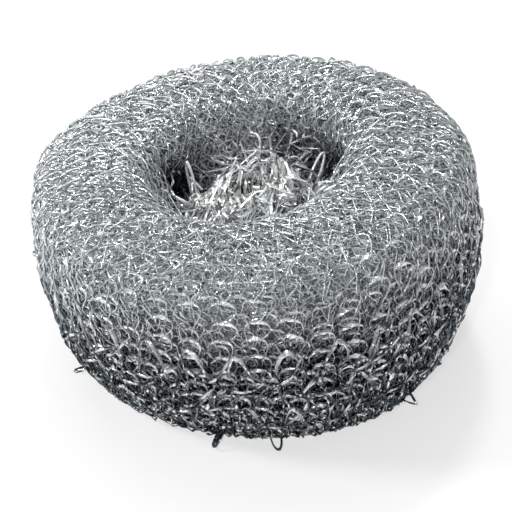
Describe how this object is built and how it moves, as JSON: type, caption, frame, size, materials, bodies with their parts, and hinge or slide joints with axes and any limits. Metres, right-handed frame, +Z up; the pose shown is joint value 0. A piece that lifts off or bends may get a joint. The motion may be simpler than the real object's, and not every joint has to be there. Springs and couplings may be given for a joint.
{
  "type": "steel wool roll",
  "caption": "Knitted flat-wire steel scouring roll: a squat ring with a flat foot and a gathered hollow in the top, used by hand to scour pans and bench tops.",
  "frame": {"origin": "middle of the roll's plan on the plane it stands on", "axes": "+Z up, through the hollow in the top; +X to the right and +Y to the back as the picture sees the roll"},
  "size_m": [0.0812, 0.0798, 0.0437],
  "materials": {
    "galvanised_wire": "flattened galvanised wire, bright, knitted in open loops"
  },
  "bodies": {
    "root": {"steel_wool_roll": "galvanised_wire"}
  },
  "joints": []
}
